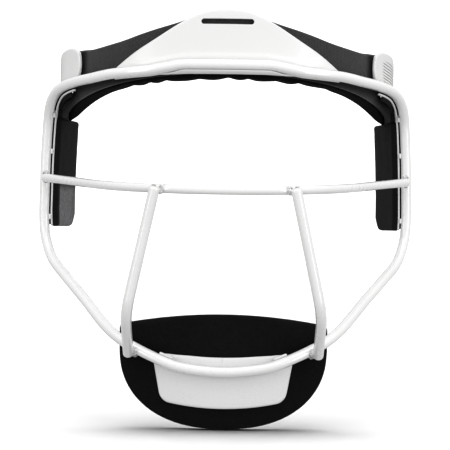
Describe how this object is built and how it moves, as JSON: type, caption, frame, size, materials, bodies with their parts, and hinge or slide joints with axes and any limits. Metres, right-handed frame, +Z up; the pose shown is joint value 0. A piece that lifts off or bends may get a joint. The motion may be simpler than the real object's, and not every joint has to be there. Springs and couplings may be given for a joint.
{
  "type": "softball fielders mask",
  "caption": "Wire cage face guard for fielding, with a padded brow band, padded side plates, a padded chin plate and an elastic strap round the back of the head.",
  "frame": {"origin": "middle of the brow pad's inner face, where the forehead rests", "axes": "+Z up the face, +Y from the face to the back of the head, +X to the wearer's left"},
  "size_m": [0.1918, 0.2501, 0.2066],
  "materials": {
    "coated_steel": "white powder coat, semi-gloss",
    "white_plastic": "white moulded plastic, satin gloss",
    "charcoal_fabric": "fine knitted facing, matt",
    "black_foam": "closed-cell foam with a matt skin",
    "black_elastic": "woven elastic webbing, matt"
  },
  "bodies": {
    "root": {"cage": "coated_steel", "brow_plate": "white_plastic", "head_band": "charcoal_fabric", "brow_pad": "black_foam", "rear_strap": "black_elastic", "temple_tab_left": "white_plastic", "temple_tab_right": "white_plastic", "side_plate_left": "white_plastic", "side_plate_right": "white_plastic", "side_pad_left": "black_foam", "side_pad_right": "black_foam", "chin_plate": "white_plastic", "chin_pad": "black_foam"}
  },
  "joints": []
}
